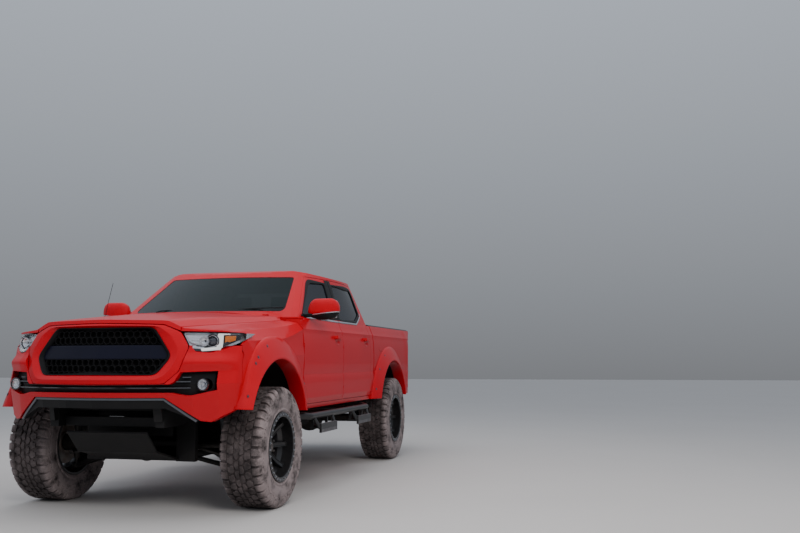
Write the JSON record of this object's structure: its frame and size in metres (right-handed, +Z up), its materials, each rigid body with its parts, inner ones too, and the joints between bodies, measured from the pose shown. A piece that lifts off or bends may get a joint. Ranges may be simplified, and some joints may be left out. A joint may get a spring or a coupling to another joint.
{
  "type": "lifted off-road 4x4 pickup",
  "caption": "Lifted double-cab off-road pickup on all-terrain tyres, with opening doors, hood and tailgate, steering front wheels and tube side steps.",
  "frame": {"origin": "on the ground under the middle of the overall length, on the centre line", "axes": "+X to the vehicle's left, +Y towards its tail, +Z up; it faces -Y"},
  "size_m": [2.186, 5.392, 1.868],
  "materials": {
    "paint_red": "gloss",
    "mirror_red": "gloss",
    "chassis_black": "satin",
    "cast_metal": "rough",
    "steel": "satin",
    "step_grey": "satin",
    "damper_paint": "satin",
    "tank_black": "matt",
    "glass": "gloss",
    "black_plastic": "matt",
    "lamp_clear": "gloss",
    "lamp_red": "gloss",
    "fabric": "matt",
    "rim_black": "satin",
    "tyre": "matt"
  },
  "bodies": {
    "body": {"chassis_frame": "chassis_black", "engine_block": "cast_metal", "driveline": "cast_metal", "exhaust": "steel", "fuel_tank": "tank_black", "skid_plate": "chassis_black", "control_arms": "chassis_black", "dampers": "damper_paint", "steering_rack": "cast_metal", "rear_axle": "chassis_black", "leaf_springs": "chassis_black", "cab_shell": "paint_red", "cab_glass": "glass", "front_fenders": "paint_red", "fender_flares": "paint_red", "front_bumper": "paint_red", "grille_surround": "paint_red", "grille_mesh": "black_plastic", "front_lamps": "lamp_clear", "bumper_trim": "black_plastic", "bed_box": "paint_red", "bed_rail_caps": "black_plastic", "tail_lamps": "lamp_red", "rear_bumper": "chassis_black", "side_steps": "step_grey", "dashboard": "black_plastic", "seats": "fabric"},
    "knuckle_left": {"knuckle_left": "cast_metal"},
    "knuckle_right": {"knuckle_right": "cast_metal"},
    "wheel_front_left": {"rim_front_left": "rim_black", "tyre_front_left": "tyre"},
    "wheel_front_right": {"rim_front_right": "rim_black", "tyre_front_right": "tyre"},
    "wheel_rear_left": {"rim_rear_left": "rim_black", "tyre_rear_left": "tyre"},
    "wheel_rear_right": {"rim_rear_right": "rim_black", "tyre_rear_right": "tyre"},
    "door_front_left": {"door_front_left": "paint_red", "glass_front_left": "glass", "mirror_left": "mirror_red"},
    "door_rear_left": {"door_rear_left": "paint_red", "glass_rear_left": "glass"},
    "door_front_right": {"door_front_right": "paint_red", "glass_front_right": "glass", "mirror_right": "mirror_red"},
    "door_rear_right": {"door_rear_right": "paint_red", "glass_rear_right": "glass"},
    "hood": {"hood": "paint_red"},
    "tailgate": {"tailgate": "paint_red"}
  },
  "joints": [
    {"name": "steer_left", "type": "hinge", "parent": "body", "child": "knuckle_left", "pos_m": [0.69, -1.781, 0.425], "axis": [0, 0, 1], "range_deg": [-30, 30]},
    {"name": "steer_right", "type": "hinge", "parent": "body", "child": "knuckle_right", "pos_m": [-0.69, -1.781, 0.425], "axis": [0, 0, 1], "range_deg": [-30, 30]},
    {"name": "spin_front_left", "type": "hinge", "parent": "knuckle_left", "child": "wheel_front_left", "pos_m": [0.828, -1.781, 0.425], "axis": [1, 0, 0], "continuous": true},
    {"name": "spin_rear_left", "type": "hinge", "parent": "body", "child": "wheel_rear_left", "pos_m": [0.828, 1.455, 0.425], "axis": [1, 0, 0], "continuous": true},
    {"name": "spin_front_right", "type": "hinge", "parent": "knuckle_right", "child": "wheel_front_right", "pos_m": [-0.828, -1.781, 0.425], "axis": [1, 0, 0], "continuous": true},
    {"name": "spin_rear_right", "type": "hinge", "parent": "body", "child": "wheel_rear_right", "pos_m": [-0.828, 1.455, 0.425], "axis": [1, 0, 0], "continuous": true},
    {"name": "door_front_left_hinge", "type": "hinge", "parent": "body", "child": "door_front_left", "pos_m": [0.898, -1.149, 0.98], "axis": [0, 0, -1], "range_deg": [0, 67]},
    {"name": "door_rear_left_hinge", "type": "hinge", "parent": "body", "child": "door_rear_left", "pos_m": [0.898, -0.135, 0.98], "axis": [0, 0, -1], "range_deg": [0, 67]},
    {"name": "door_front_right_hinge", "type": "hinge", "parent": "body", "child": "door_front_right", "pos_m": [-0.898, -1.149, 0.98], "axis": [0, 0, 1], "range_deg": [0, 67]},
    {"name": "door_rear_right_hinge", "type": "hinge", "parent": "body", "child": "door_rear_right", "pos_m": [-0.898, -0.135, 0.98], "axis": [0, 0, 1], "range_deg": [0, 67]},
    {"name": "hood_hinge", "type": "hinge", "parent": "body", "child": "hood", "pos_m": [0, -1.221, 1.4], "axis": [-1, 0, 0], "range_deg": [0, 50]},
    {"name": "tailgate_hinge", "type": "hinge", "parent": "body", "child": "tailgate", "pos_m": [0, 2.547, 0.918], "axis": [-1, 0, 0], "range_deg": [0, 90]}
  ],
  "couplings": [
    {"joint": "steer_right", "follows": "steer_left", "ratio": 1}
  ]
}
